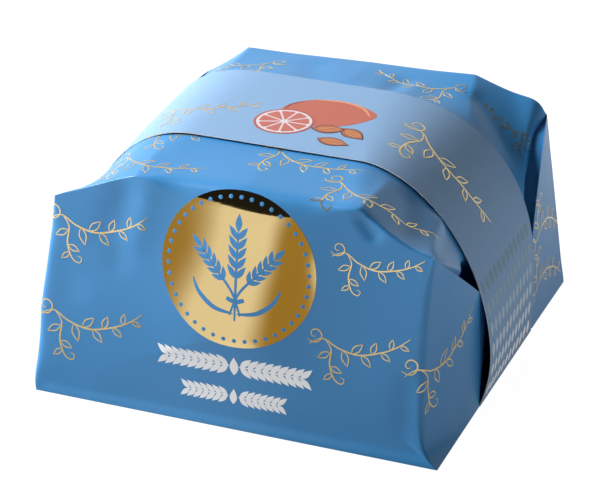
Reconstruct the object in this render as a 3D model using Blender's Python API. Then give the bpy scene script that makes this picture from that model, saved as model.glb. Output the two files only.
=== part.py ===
"""A low panettone sold in a square paper wrap, held shut by a printed paper belly band.

Units are metres, +Z is up and the front wall faces -Y. The origin is the centre of the base.
Two solids: the wrapped pack, whose folds are relief on it, and the band that loops round it.
"""
import math

import bmesh
import bpy
from mathutils import Vector

MM = 0.001
FRONT, BACK = -1, 1
LEFT, RIGHT = -1, 1

# The wrapped pack: a square base, end walls that lean inwards, and a nearly flat top
BASE_SIDE = 235 * MM
RIDGE_HEIGHT = {FRONT: 134.9 * MM, BACK: 131.8 * MM}
WALL_LEAN = 0.133
FRONT_SKEW = 3.5 * MM

# The ears: the four corners where the top, an end wall and a side flap pinch together
EAR_HEIGHT = 113.4 * MM
EAR_INSET = 10.9 * MM
EAR_DIP = {(RIGHT, FRONT): 0.0, (LEFT, FRONT): 0.0, (RIGHT, BACK): 0.0, (LEFT, BACK): 5.5 * MM}

# The corners of the flat top, where the four creases from the ears arrive: half width and height
TOP_CORNERS = {
    (RIGHT, FRONT): (66 * MM, 134.5 * MM),
    (LEFT, FRONT): (61 * MM, 132.5 * MM),
    (RIGHT, BACK): (58 * MM, 133.0 * MM),
    (LEFT, BACK): (79 * MM, 128.6 * MM),
}
CREASE_SAG = {
    (RIGHT, FRONT): 2.5 * MM,
    (LEFT, FRONT): -1.0 * MM,
    (RIGHT, BACK): -1.0 * MM,
    (LEFT, BACK): 1.0 * MM,
}

# At the back right the crease swells just above the ear before it falls to it
EAR_SWELL = {(RIGHT, FRONT): 0.0, (LEFT, FRONT): 0.0, (RIGHT, BACK): 5.5 * MM, (LEFT, BACK): 0.0}
SWELL_PLACE = 0.15

# The upright folds are drawn in between the foot and the ear, most of all at the front right
FOLD_PULL = {
    (RIGHT, FRONT): 9.6 * MM,
    (LEFT, FRONT): 1.0 * MM,
    (RIGHT, BACK): 2.0 * MM,
    (LEFT, BACK): 5.0 * MM,
}
FOOT_CURL = 5 * MM
FOOT_TIP = 3.5 * MM

# The side flaps: folded in from the front and the back, their upper edges falling from the ears
FLAP_DROP = {FRONT: 51.4 * MM, BACK: 75 * MM}
FLAP_DROP_POWER = {FRONT: 1.0, BACK: 3.0}
FLAP_END_FOOT = {FRONT: 49 * MM, BACK: 53.5 * MM}
FLAP_END_HEAD = {FRONT: 35 * MM, BACK: 46 * MM}
FLAP_END_POWER = {FRONT: 1.0, BACK: 0.3}
FLAP_FOOT_HALF_WIDTH = 116.6 * MM
FLAP_HEAD_HALF_WIDTH = 114.6 * MM
FLAP_FULLNESS = 1.6
FLAP_TUCK = {FRONT: 3.0 * MM, BACK: 5.0 * MM}
FLAP_CURL = 3.5 * MM
KNUCKLE_SHARE = 0.22

# What lies under the band between the flaps
CORE_HALF_WIDTH = 110.0 * MM

# Radii of the folds round an end wall, from the foot up to the top ridge
FOOT_RADIUS = 0.8 * MM
FOLD_RADIUS = 3.5 * MM
EAR_RADIUS = 0.8 * MM
CREASE_RADIUS = 2.5 * MM
RIDGE_RADIUS = 9 * MM

# The band: its width, its paper and the shoulders that it is drawn over
BAND_FRONT = -45 * MM
BAND_BACK = 50 * MM
BAND_PAPER = 0.5 * MM
BAND_CLEARANCE = 1.0 * MM
BAND_TOP = 136.6 * MM
BELLY_HEIGHT = 30 * MM
BAND_FOOT = 117.5 * MM
BAND_MARGIN = 2.0 * MM
CHANNEL_DEPTH = 1.0 * MM

# Each shoulder is a quarter of a superellipse: start of the curve, its reach outwards, its power
SHOULDERS = {
    (RIGHT, FRONT): (46 * MM, 77 * MM, 1.85),
    (LEFT, FRONT): (50 * MM, 73 * MM, 2.15),
    (RIGHT, BACK): (20 * MM, 98 * MM, 2.4),
    (LEFT, BACK): (40 * MM, 79 * MM, 2.9),
}

# The papers' colours (linear) and gloss
BLUE = (0.075, 0.23, 0.47)
PALE_BLUE = (0.16, 0.33, 0.60)
SATIN = 0.38
MATT = 0.8

# How finely the folds are faceted: up a section, and from the front wall to the back wall
WALL_STEPS = 10
SLOPE_STEPS = 15
TOP_STEPS = 6
FOLD_STEPS = 4
FLAP_STEPS = 10
CORE_STEPS = 6
BAND_SHOULDER_STEPS = 20
BAND_BELLY_STEPS = 4
BAND_WIDTH_STEPS = 6

# The same steps as shares: the slope starts a little above the flap's edge, which leaves a ledge
LEDGE_SHARE = 0.01
WALL_SHARES = [i / WALL_STEPS for i in range(WALL_STEPS + 1)]
SLOPE_SHARES = [LEDGE_SHARE + (1 - LEDGE_SHARE) * i / SLOPE_STEPS for i in range(SLOPE_STEPS + 1)]
TOP_SHARES = [i / TOP_STEPS for i in range(1, TOP_STEPS + 1)]
RIM_REACH = 0.25
SMOOTH_ANGLE = math.radians(32)


def lerp(a, b, t):
    return a + (b - a) * t


def clear_scene():
    for old in list(bpy.data.objects):
        bpy.data.objects.remove(old, do_unlink=True)


def paper(name, colour, roughness):
    """A printed paper of one colour."""
    material = bpy.data.materials.new(name)
    material.use_nodes = True
    shader = material.node_tree.nodes["Principled BSDF"]
    shader.inputs["Base Color"].default_value = (*colour, 1)
    shader.inputs["Roughness"].default_value = roughness
    shader.inputs["Metallic"].default_value = 0.0
    return material


def shoulder(side, y, turn, inset):
    """A point (x, z) of the shoulder at the place y, for a turn from 0 (belly) to 90 degrees (top)."""
    along = min(max((y - BAND_FRONT) / (BAND_BACK - BAND_FRONT), 0.0), 1.0)
    start, reach, power = [lerp(a, b, along) for a, b in zip(SHOULDERS[side, FRONT], SHOULDERS[side, BACK])]
    rise = BAND_TOP - BELLY_HEIGHT - inset
    x = start + (reach - inset) * max(math.cos(turn), 0.0) ** (2 / power)
    z = BELLY_HEIGHT + rise * math.sin(turn) ** (2 / power)
    return x, z


def shoulder_turn(side, y, z, inset):
    """The turn at which the shoulder has the height z."""
    along = min(max((y - BAND_FRONT) / (BAND_BACK - BAND_FRONT), 0.0), 1.0)
    power = lerp(SHOULDERS[side, FRONT][2], SHOULDERS[side, BACK][2], along)
    rise = BAND_TOP - BELLY_HEIGHT - inset
    return math.asin(max((z - BELLY_HEIGHT) / rise, 0.0) ** (power / 2))


def wall_y(end, x, z):
    """The place of a leaning end wall: the front one stands a little further back at its right."""
    skew = FRONT_SKEW * (x / BASE_SIDE + 0.5) if end == FRONT else 0.0
    return end * (BASE_SIDE / 2 - WALL_LEAN * z) + skew


def ear_height(side, end):
    return EAR_HEIGHT - EAR_DIP[side, end]


def edge_height(side, end, t):
    """The height of a side flap's upper edge, from the ear to its inner end."""
    return ear_height(side, end) - FLAP_DROP[end] * t ** FLAP_DROP_POWER[end]


def upright_fold(side, end, z):
    """The fold between an end wall and a side flap: its foot at the front right sticks out to a tip."""
    rise = z / ear_height(side, end)
    straight = BASE_SIDE / 2 - EAR_INSET * rise
    pulled = FOLD_PULL[side, end] * (1 - math.exp(-z / FOOT_CURL)) * (1 - rise ** 2)
    x = side * (straight - pulled)
    tip = FOOT_TIP * math.exp(-z / FOOT_CURL) if (side, end) == (RIGHT, FRONT) else 0.0
    return Vector((x, wall_y(end, x, z) - tip, z))


def flap_end(end, height_share):
    """The place of a side flap's inner end, under the band."""
    return end * lerp(FLAP_END_FOOT[end], FLAP_END_HEAD[end], height_share ** FLAP_END_POWER[end])


def slope_end(end):
    """The place just outside the band's edge, where the slope takes the band's own shape."""
    return BAND_FRONT - BAND_MARGIN if end == FRONT else BAND_BACK + BAND_MARGIN


def flap_point(side, end, t, w):
    """The side flap: t runs from the upright fold to its inner end, w from the foot to its upper edge."""
    fold = upright_fold(side, end, w * ear_height(side, end))
    fullness = 1 - (1 - t) ** FLAP_FULLNESS
    x = side * lerp(abs(fold.x), lerp(FLAP_FOOT_HALF_WIDTH, FLAP_HEAD_HALF_WIDTH, w ** 2), fullness)
    return Vector((x, lerp(fold.y, flap_end(end, w), t), w * edge_height(side, end, t)))


def crease_point(side, end, w):
    """The crease from an ear up to the corner of the flat top."""
    half_width, height = TOP_CORNERS[side, end]
    ear = upright_fold(side, end, ear_height(side, end))
    point = ear.lerp(Vector((side * half_width, 0, height)), w)
    swell = w / SWELL_PLACE * math.exp(1 - w / SWELL_PLACE)
    point.z += EAR_SWELL[side, end] * swell - CREASE_SAG[side, end] * 4 * w * (1 - w)
    point.y = wall_y(end, point.x, point.z)
    return point


def core_point(side, y, low, w):
    """The wrap under the band, from the height low up to the flat top."""
    inset = BAND_PAPER + BAND_CLEARANCE
    turn = lerp(shoulder_turn(side, y, low, inset), math.pi / 2, w)
    x, z = shoulder(side, y, turn, inset)
    return Vector((side * min(x, CORE_HALF_WIDTH), y, z))


def slope_point(side, end, t, w):
    """The top flap's slope behind the side flap: the lowest share of it fans out from the ear."""
    outer = crease_point(side, end, max((w - KNUCKLE_SHARE) / (1 - KNUCKLE_SHARE), 0.0))
    y = lerp(flap_end(end, 1), slope_end(end), min(w / KNUCKLE_SHARE, 1.0))
    inner = core_point(side, y, edge_height(side, end, 1), w)
    point = outer.lerp(inner, t)
    point.x -= side * FLAP_TUCK[end] * math.sin(math.pi * t) * (1 - w) ** 2
    straight = lerp(ear_height(side, end), edge_height(side, end, 1), t)
    point.z += (edge_height(side, end, t) - straight) * (1 - w) ** 3
    return point


def top_point(side, end, t, w):
    """The flat top, from the slope in to the middle line."""
    start = slope_point(side, end, t, 1)
    ridge = RIDGE_HEIGHT[end]
    middle = Vector((0, lerp(wall_y(end, 0, ridge), slope_end(end), t),
                     lerp(ridge, BAND_TOP - BAND_PAPER - BAND_CLEARANCE, t)))
    return start.lerp(middle, w)


def half_rib(side, end, t):
    """The points of one half-section, from the foot up and in to the middle line."""
    points = [flap_point(side, end, t, w) for w in WALL_SHARES]
    points += [slope_point(side, end, t, w) for w in SLOPE_SHARES]
    points += [top_point(side, end, t, w) for w in TOP_SHARES]
    return points


def fold_radii():
    """The radius of the end wall's rim at each point of a half-section."""
    radii = []
    for w in WALL_SHARES:
        swell = min(math.sin(math.pi * w) * 2, 1.0)
        radii.append(lerp(lerp(FOOT_RADIUS, EAR_RADIUS, w), FOLD_RADIUS, swell))
    for w in SLOPE_SHARES:
        radii.append(EAR_RADIUS if w < KNUCKLE_SHARE else lerp(CREASE_RADIUS, RIDGE_RADIUS, w ** 4))
    return radii + [RIDGE_RADIUS] * TOP_STEPS


def rounded_rim(side, end):
    """The half-sections that roll from the end wall over onto the sides and the top."""
    corners = half_rib(side, end, 0)
    onward = half_rib(side, end, RIM_REACH)
    heart = Vector((0, wall_y(end, 0, EAR_HEIGHT / 2), EAR_HEIGHT / 2))
    ribs = []
    for step in range(FOLD_STEPS + 1):
        turn = step / FOLD_STEPS
        rib = []
        for corner, further, radius in zip(corners, onward, fold_radii()):
            before = corner + (heart - corner).normalized() * radius
            after = corner + (further - corner).normalized() * radius
            rib.append(before * (1 - turn) ** 2 + corner * 2 * turn * (1 - turn) + after * turn ** 2)
        ribs.append(rib)
    return ribs


def flap_ribs(side, end):
    """The half-sections from the rim of an end wall to the inner ends of the flaps."""
    ribs = rounded_rim(side, end)
    second = half_rib(side, end, 2 / FLAP_STEPS)
    ribs.append([a.lerp(b, 0.5) for a, b in zip(ribs[-1], second)])
    ribs += [half_rib(side, end, step / FLAP_STEPS) for step in range(2, FLAP_STEPS + 1)]
    return ribs


def core_rib(side, share):
    """A half-section under the band: share runs from the front flap's end to the back flap's."""
    low = lerp(edge_height(side, FRONT, 1), edge_height(side, BACK, 1), share)
    points = []
    for w in WALL_SHARES:
        y = lerp(flap_end(FRONT, w) + FLAP_CURL, flap_end(BACK, w) - FLAP_CURL, share)
        points.append(Vector((side * CORE_HALF_WIDTH, y, lerp(CHANNEL_DEPTH, low, w))))
    for w in SLOPE_SHARES:
        above = min(w / KNUCKLE_SHARE, 1.0)
        y = lerp(lerp(flap_end(FRONT, 1), slope_end(FRONT), above) + FLAP_CURL,
                 lerp(flap_end(BACK, 1), slope_end(BACK), above) - FLAP_CURL, share)
        points.append(core_point(side, y, low, w))
    inner_edge = points[-1]
    middle = Vector((0, inner_edge.y, BAND_TOP - BAND_PAPER - BAND_CLEARANCE))
    return points + [inner_edge.lerp(middle, w) for w in TOP_SHARES]


def half_ribs(side):
    """All half-sections of one side, from the front wall to the back wall."""
    front = flap_ribs(side, FRONT)
    back = flap_ribs(side, BACK)
    core = [core_rib(side, step / CORE_STEPS) for step in range(CORE_STEPS + 1)]
    return front + core + back[::-1]


def build_wrap():
    """The paper-wrapped pack as one closed solid."""
    left = half_ribs(LEFT)
    right = half_ribs(RIGHT)
    mesh = bmesh.new()
    loops = []
    for west, east in zip(left, right):
        loops.append([mesh.verts.new(p) for p in west[:-1] + east[::-1]])
    for here, there in zip(loops, loops[1:]):
        for i in range(len(here) - 1):
            mesh.faces.new((here[i], here[i + 1], there[i + 1], there[i]))
        mesh.faces.new((here[-1], here[0], there[0], there[-1]))
    mesh.faces.new(loops[0][::-1])
    mesh.faces.new(loops[-1])
    return finish_mesh(mesh, "wrap", paper("blue_coated_paper", BLUE, SATIN))


def band_loop(y, inset):
    """The band's section at the place y, from the left foot over the top to the right foot."""
    halves = []
    for side in (LEFT, RIGHT):
        belly = shoulder(side, y, 0, inset)[0]
        foot = BAND_FOOT - inset
        points = []
        for i in range(BAND_BELLY_STEPS):
            rise = i / BAND_BELLY_STEPS
            x = lerp(foot, belly, 1 - (1 - rise) ** 2)
            points.append(Vector((side * x, y, lerp(inset, BELLY_HEIGHT, rise))))
        for i in range(BAND_SHOULDER_STEPS + 1):
            x, z = shoulder(side, y, math.pi / 2 * i / BAND_SHOULDER_STEPS, inset)
            points.append(Vector((side * x, y, z)))
        halves.append(points)
    return halves[0] + halves[1][::-1]


def build_band():
    """The paper band as a thin closed loop round the pack and under its base."""
    mesh = bmesh.new()
    skins = []
    for inset in (0, BAND_PAPER):
        rows = []
        for step in range(BAND_WIDTH_STEPS + 1):
            y = lerp(BAND_FRONT, BAND_BACK, step / BAND_WIDTH_STEPS)
            rows.append([mesh.verts.new(p) for p in band_loop(y, inset)])
        skins.append(rows)
    outer, inner = skins
    count = len(outer[0])
    for i in range(count):
        j = (i + 1) % count
        for step in range(BAND_WIDTH_STEPS):
            mesh.faces.new((outer[step][i], outer[step][j], outer[step + 1][j], outer[step + 1][i]))
            mesh.faces.new((inner[step][j], inner[step][i], inner[step + 1][i], inner[step + 1][j]))
        mesh.faces.new((inner[0][i], inner[0][j], outer[0][j], outer[0][i]))
        mesh.faces.new((outer[-1][i], outer[-1][j], inner[-1][j], inner[-1][i]))
    return finish_mesh(mesh, "band", paper("linen_band_paper", PALE_BLUE, MATT))


def finish_mesh(mesh, name, material):
    """Turn the faces outwards, shade the folds and link the piece to the scene."""
    bmesh.ops.recalc_face_normals(mesh, faces=mesh.faces)
    data = bpy.data.meshes.new(name)
    mesh.to_mesh(data)
    mesh.free()
    data.shade_smooth()
    data.set_sharp_from_angle(angle=SMOOTH_ANGLE)
    data.materials.append(material)
    piece = bpy.data.objects.new(name, data)
    bpy.context.scene.collection.objects.link(piece)
    return piece


clear_scene()
build_wrap()
build_band()
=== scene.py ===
"""The looks of a low panettone in a square paper wrap with a printed belly band.

Units are metres, +Z is up and the front wall faces -Y. Every piece rides on the one body.
"""
import bisect
import math

import bmesh
import bpy
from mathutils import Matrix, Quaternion, Vector, noise
from mathutils.bvhtree import BVHTree


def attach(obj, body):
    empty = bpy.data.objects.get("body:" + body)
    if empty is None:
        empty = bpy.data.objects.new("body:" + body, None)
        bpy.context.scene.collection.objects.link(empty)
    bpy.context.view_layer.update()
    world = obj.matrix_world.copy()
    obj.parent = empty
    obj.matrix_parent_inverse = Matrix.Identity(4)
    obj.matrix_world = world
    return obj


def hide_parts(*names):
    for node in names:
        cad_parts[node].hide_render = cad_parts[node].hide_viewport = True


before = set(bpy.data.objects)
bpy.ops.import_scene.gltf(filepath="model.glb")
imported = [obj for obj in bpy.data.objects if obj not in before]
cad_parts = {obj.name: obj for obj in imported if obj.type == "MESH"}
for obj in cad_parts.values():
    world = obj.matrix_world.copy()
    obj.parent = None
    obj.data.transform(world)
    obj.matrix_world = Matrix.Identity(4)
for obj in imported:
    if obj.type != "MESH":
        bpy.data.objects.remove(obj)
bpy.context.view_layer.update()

# The camera: a long lens to the right of the front, looking down on the pack. It was fitted to the
# eight corners of the pack that the photograph shows.
MM = 0.001
CAMERA_AZIMUTH = math.radians(21.58)
CAMERA_ELEVATION = math.radians(26.21)
CAMERA_DISTANCE = 1.5
CAMERA_TARGET = Vector((-9.3, 7.5, 55.0)) * MM
CAMERA_LENS = 157.44
SENSOR_WIDTH = 36.0
CAMERA_FAR = 30


def direction(azimuth, elevation):
    """The unit vector towards an azimuth, from -Y to the right, and an elevation."""
    level = math.cos(elevation)
    return Vector((math.sin(azimuth) * level, -math.cos(azimuth) * level, math.sin(elevation)))


def aim(thing, place, target):
    """Put a thing at a place and turn its -Z axis to the target."""
    thing.location = place
    thing.rotation_mode = "QUATERNION"
    thing.rotation_quaternion = (place - target).to_track_quat("Z", "Y")


lens = bpy.data.cameras.new("camera")
lens.lens = CAMERA_LENS
lens.sensor_width = SENSOR_WIDTH
lens.clip_end = CAMERA_FAR
camera = bpy.data.objects.new("camera", lens)
bpy.context.scene.collection.objects.link(camera)
aim(camera, CAMERA_TARGET + direction(CAMERA_AZIMUTH, CAMERA_ELEVATION) * CAMERA_DISTANCE, CAMERA_TARGET)
bpy.context.scene.camera = camera
bpy.context.scene.view_settings.view_transform = "Standard"

# The table: a sheet of cast white acrylic, sanded matt and lit from below, so that the camera sees
# plain white under the pack. It lies just below the pack's base.
FLOOR_RADIUS = 3.4
FLOOR_DROP = 0.2 * MM


def linear(colour):
    """The linear value of an sRGB hex colour."""
    channels = [int(colour[i:i + 2], 16) / 255 for i in (1, 3, 5)]
    curved = [c / 12.92 if c <= 0.04045 else ((c + 0.055) / 1.055) ** 2.4 for c in channels]
    return (*curved, 1.0)


def surface(material):
    return material.node_tree.nodes["Principled BSDF"]


def new_material(name, values):
    """A material whose surface has the given values, with its colours in hex."""
    material = bpy.data.materials.new(name)
    material.use_nodes = True
    for socket, value in values.items():
        surface(material).inputs[socket].default_value = linear(value) if isinstance(value, str) else value
    return material


def glowing(name, strength):
    """A material that glows white by itself and that no lamp lights."""
    values = {"Base Color": "#000000", "Emission Color": "#FFFFFF", "Emission Strength": strength}
    return new_material(name, values)


def add_node(material, kind, settings=None, values=None, links=None):
    """A node with its settings, its input values, and the (node, output) linked to each input."""
    node = material.node_tree.nodes.new("ShaderNode" + kind)
    for name, value in (settings or {}).items():
        setattr(node, name, value)
    for name, value in (values or {}).items():
        node.inputs[name].default_value = value
    for name, (source, output) in (links or {}).items():
        material.node_tree.links.new(source.outputs[output], node.inputs[name])
    return node


def feed(material, socket, source, output):
    """Link a node's output to a socket of the material's surface."""
    material.node_tree.links.new(source.outputs[output], surface(material).inputs[socket])


def add_piece(name, mesh, materials, smooth_angle=None):
    """Turn a finished bmesh into a shaded object of the scene."""
    data = bpy.data.meshes.new(name)
    mesh.to_mesh(data)
    mesh.free()
    data.shade_smooth()
    if smooth_angle is not None:
        data.set_sharp_from_angle(angle=smooth_angle)
    for material in materials:
        data.materials.append(material)
    piece = bpy.data.objects.new(name, data)
    bpy.context.scene.collection.objects.link(piece)
    return piece


def flat_disc(radius, drop, segments):
    mesh = bmesh.new()
    bmesh.ops.create_circle(mesh, cap_ends=True, segments=segments, radius=radius)
    bmesh.ops.translate(mesh, verts=mesh.verts, vec=(0, 0, -drop))
    return mesh


# Sanded acrylic: nearly white by the light in it, with a faint soft shadow and no mirror image.
acrylic = new_material("white_acrylic_table", {
    "Base Color": "#505050",
    "Roughness": 0.6,
    "Emission Color": "#FFFFFF",
    "Emission Strength": 0.93,
})
floor = add_piece("floor", flat_disc(FLOOR_RADIUS, FLOOR_DROP, segments=96), [acrylic])

# The pack's own shade on the table round it, which only the paper and the foil see: grey at the
# pack's foot, and white again further out.
SHADE_RADIUS = 0.55
SHADE_START = 0.13
SHADE_STOP = 0.5
SHADE_GLOW = 0.36
shaded = glowing("shaded_table", 1.0)
table_axes = add_node(shaded, "TexCoord")
outward = add_node(shaded, "VectorMath", {"operation": "LENGTH"}, links={"Vector": (table_axes, "Object")})
shade_range = {"From Min": SHADE_START, "From Max": SHADE_STOP, "To Min": SHADE_GLOW, "To Max": 1.0}
brightness = add_node(shaded, "MapRange", values=shade_range, links={"Value": (outward, "Value")})
feed(shaded, "Emission Strength", brightness, "Result")
table_shade = add_piece("table_shade", flat_disc(SHADE_RADIUS, FLOOR_DROP / 2, segments=64), [shaded])
table_shade.visible_camera = table_shade.visible_shadow = False

# The backdrop: a roll of pale paper that hangs in an arc behind the table and has lamps of its own,
# so that it glows evenly.
BACKDROP_RADIUS = 3.2
BACKDROP_HEIGHT = 3.0
BACKDROP_START = 140
BACKDROP_SWEEP = 140
BACKDROP_STEPS = 48
BACKDROP_GLOW = 0.72
mesh = bmesh.new()
posts = []
for step in range(BACKDROP_STEPS + 1):
    azimuth = math.radians(BACKDROP_START + BACKDROP_SWEEP * step / BACKDROP_STEPS)
    foot = direction(azimuth, 0) * BACKDROP_RADIUS
    posts.append((mesh.verts.new(foot), mesh.verts.new(foot + Vector((0, 0, BACKDROP_HEIGHT)))))
for here, there in zip(posts, posts[1:]):
    mesh.faces.new((here[0], there[0], there[1], here[1]))
backdrop = add_piece("backdrop", mesh, [glowing("pale_backdrop_paper", BACKDROP_GLOW)])

# The lamps: a large soft one high at the left, and two weak ones, at the left of the front and at
# the right, which lift the shadows and which nothing glossy mirrors.
LAMP_TARGET = Vector((0, 0, 0.06))
KEY_DIRECTION = Vector((-0.80, -0.03, 0.58)).normalized()
KEY_DISTANCE = 2.3
KEY_SIZE = 0.9
KEY_POWER = 109.0
# The weak lamps: name, azimuth and elevation in degrees, distance, size and power
FILLS = (
    ("fill", -38, 18, 0.65, 0.5, 1.9),
    ("side_fill", 100, 14, 2.0, 1.2, 7.5),
)


def area_light(name, place, size, power):
    """A round soft lamp that shines on the pack."""
    data = bpy.data.lights.new(name, "AREA")
    data.shape = "DISK"
    data.size = size
    data.energy = power
    light = bpy.data.objects.new(name, data)
    bpy.context.scene.collection.objects.link(light)
    aim(light, place, LAMP_TARGET)
    return light


area_light("key", KEY_DIRECTION * KEY_DISTANCE, KEY_SIZE, KEY_POWER)
for name, azimuth, elevation, distance, size, power in FILLS:
    place = direction(math.radians(azimuth), math.radians(elevation)) * distance
    area_light(name, place, size, power).visible_glossy = False

# The white behind the edge of the table: a dome that only the camera sees.
DOME_RADIUS = 9.0
mesh = bmesh.new()
bmesh.ops.create_icosphere(mesh, subdivisions=4, radius=DOME_RADIUS)
dome = add_piece("dome", mesh, [glowing("pale_studio_air", 1.0)])
dome.visible_diffuse = dome.visible_glossy = dome.visible_shadow = dome.visible_transmission = False

# A card in front of the seal that only glossy paper and foil see. It is white in its middle and turns
# to amber at both sides, so the foil has one bright streak between two deep golden ones.
SEAL_PLACE = Vector((0, -0.104, 0.091))
CARD_AZIMUTH = math.radians(-19.7)
CARD_ELEVATION = math.radians(-15.3)
CARD_DISTANCE = 0.12
CARD_WIDTH = 0.143
CARD_HEIGHT = 0.146
CARD_LEAN = math.radians(-7)
CARD_AMBER = "#A4883C"
CARD_WHITE = "#F4F2EE"
CARD_STOPS = ((0.10, CARD_AMBER), (0.294, CARD_WHITE), (0.643, CARD_WHITE),
              (0.822, CARD_AMBER), (0.95, CARD_AMBER))
card = glowing("amber_and_white_card", 1.0)
card_axes = add_node(card, "TexCoord")
card_sides = add_node(card, "SeparateXYZ", links={"Vector": (card_axes, "Generated")})
ramp = add_node(card, "ValToRGB", links={"Fac": (card_sides, "X")})
ramp.color_ramp.interpolation = "EASE"
for stop, colour in CARD_STOPS:
    ramp.color_ramp.elements.new(stop).color = linear(colour)
for stop in (0, -1):
    ramp.color_ramp.elements[stop].color = linear(CARD_WHITE)
feed(card, "Emission Color", ramp, "Color")


def cut_card(name, height):
    """A piece of the card, of the given height, that neither the camera nor matt surfaces see."""
    mesh = bmesh.new()
    bmesh.ops.create_grid(mesh, x_segments=1, y_segments=1, size=0.5)
    bmesh.ops.scale(mesh, verts=mesh.verts, vec=(CARD_WIDTH, height, 1))
    piece = add_piece(name, mesh, [card])
    piece.visible_camera = piece.visible_diffuse = piece.visible_shadow = False
    return piece


seal_card = cut_card("seal_card", CARD_HEIGHT)
aim(seal_card, SEAL_PLACE + direction(CARD_AZIMUTH, CARD_ELEVATION) * CARD_DISTANCE, SEAL_PLACE)
seal_card.rotation_quaternion = seal_card.rotation_quaternion @ Quaternion((0, 0, 1), CARD_LEAN)

# The same card goes on as a strip on the table, up to the foot of the pack.
STRIP_REACH = 0.065
STRIP_DEPTH = 0.09
STRIP_SHIFT = -0.010
STRIP_RISE = 0.3 * MM
card_strip = cut_card("card_strip", STRIP_DEPTH)
sideways = direction(CARD_AZIMUTH + math.pi / 2, 0) * STRIP_SHIFT
strip_place = SEAL_PLACE + direction(CARD_AZIMUTH, 0) * STRIP_REACH + sideways
card_strip.location = (strip_place.x, strip_place.y, STRIP_RISE)
card_strip.rotation_euler = (0, 0, CARD_AZIMUTH)

# The room over the table is nearly dark: the rolled top of the foil mirrors it.
ROOM_GLOW = 0.014
world = bpy.data.worlds.new("dark_room")
world.use_nodes = True
world.node_tree.nodes["Background"].inputs["Color"].default_value = (ROOM_GLOW, ROOM_GLOW, ROOM_GLOW, 1)
bpy.context.scene.world = world

# The wrap: one square of satin-coated blue paper drawn up round the cake. Its end walls lean
# inwards, its corners are pinched into ears, and its sides are folded over each other as flaps
# whose upper edges stand proud of the slopes behind them.
FRONT, BACK = -1, 1
LEFT, RIGHT = -1, 1


def by_corner(*lengths):
    """A length in millimetres for each corner: front right, front left, back right, back left."""
    corners = ((RIGHT, FRONT), (LEFT, FRONT), (RIGHT, BACK), (LEFT, BACK))
    return {corner: length * MM for corner, length in zip(corners, lengths)}


# The end walls, the flat top between their ridges, and the creases down to the ears
BASE_SIDE = 235 * MM
RIDGE_HEIGHT = {FRONT: 134.9 * MM, BACK: 131.8 * MM}
WALL_LEAN = 0.133
FRONT_SKEW = 3.5 * MM
EAR_HEIGHT = 113.4 * MM
EAR_INSET = 10.9 * MM
EAR_DIP = by_corner(0, 0, 0, 5.5)
EAR_SWELL = by_corner(0, 0, 5.5, 0)
SWELL_PLACE = 0.15
TOP_HALF_WIDTH = by_corner(66, 61, 64, 79)
TOP_HEIGHT = by_corner(134.5, 132.5, 133.2, 128.6)
CREASE_SAG = by_corner(2.5, -1.0, -1.0, 1.0)

# The upright folds and the side flaps, which are tucked under the band
FOLD_PULL = by_corner(9.6, -3.0, -0.5, 5.0)
FOOT_CURL = 5 * MM
FOOT_TIP = 3.5 * MM
FLAP_DROP = {FRONT: 51.4 * MM, BACK: 75 * MM}
FLAP_DROP_POWER = {FRONT: 1.0, BACK: 3.0}
FLAP_END_FOOT = {FRONT: 46 * MM, BACK: 53.5 * MM}
FLAP_END_HEAD = {FRONT: 35 * MM, BACK: 46 * MM}
FLAP_END_POWER = {FRONT: 1.0, BACK: 0.3}
FLAP_FOOT_HALF_WIDTH = 117.2 * MM
FLAP_HEAD_HALF_WIDTH = 115.8 * MM
FLAP_FULLNESS = 1.6
FLAP_TUCK = {FRONT: 3.0 * MM, BACK: 5.0 * MM}
FLAP_CURL = 3.5 * MM
KNUCKLE_SHARE = 0.22
CORE_HALF_WIDTH = 110.0 * MM

# How round the paper turns at each fold
FOOT_RADIUS = 0.8 * MM
FOLD_RADIUS = {LEFT: 8.0 * MM, RIGHT: 4.0 * MM}
EAR_RADIUS = 0.8 * MM
CREASE_RADIUS = {LEFT: 0.7 * MM, RIGHT: 2.5 * MM}
RIDGE_RADIUS = {FRONT: 15 * MM, BACK: 5 * MM}
RIDGE_PULL = 1.5
PINCH_SHARE = 0.45

# The belly band, which shapes the wrap under it: each shoulder starts at a distance from the middle,
# reaches out from there, and is squarer with a higher power
BAND_FRONT = -45 * MM
BAND_BACK = 50 * MM
BAND_PAPER = 0.5 * MM
BAND_CLEARANCE = 1.0 * MM
BAND_TOP = 136.6 * MM
BELLY_HEIGHT = 30 * MM
BAND_FOOT = 117.5 * MM
BAND_MARGIN = 2.0 * MM
CHANNEL_DEPTH = 1.0 * MM
CORE_INSET = BAND_PAPER + BAND_CLEARANCE
SHOULDER_START = by_corner(46, 50, 20, 40)
SHOULDER_REACH = by_corner(77, 73, 98, 79)
SHOULDER_POWER = {(RIGHT, FRONT): 1.85, (LEFT, FRONT): 2.15, (RIGHT, BACK): 2.4, (LEFT, BACK): 2.9}
# Where the creases of the flat top meet the band's edges
CREASE_END = by_corner(64.4, 64.0, 75.0, 74.0)

# The steps of the fine surface, up a section and from the front wall to the back wall
WALL_STEPS = 40
SLOPE_STEPS = 48
TOP_STEPS = 30
FOLD_STEPS = 12
FLAP_STEPS = 34
CORE_STEPS = 10
RING_STEPS = 44
LEDGE_SHARE = 0.01
RIM_REACH = 0.25
JOIN_STEP = 11
WALL_SHARES = [i / WALL_STEPS for i in range(WALL_STEPS + 1)]
SLOPE_SHARES = [LEDGE_SHARE + (1 - LEDGE_SHARE) * i / SLOPE_STEPS for i in range(SLOPE_STEPS + 1)]
TOP_SHARES = [i / TOP_STEPS for i in range(1, TOP_STEPS + 1)]


def lerp(a, b, t):
    return a + (b - a) * t


def smooth(value):
    """An S-shaped rise from 0 to 1."""
    held = min(max(value, 0.0), 1.0)
    return held * held * (3 - 2 * held)


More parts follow.
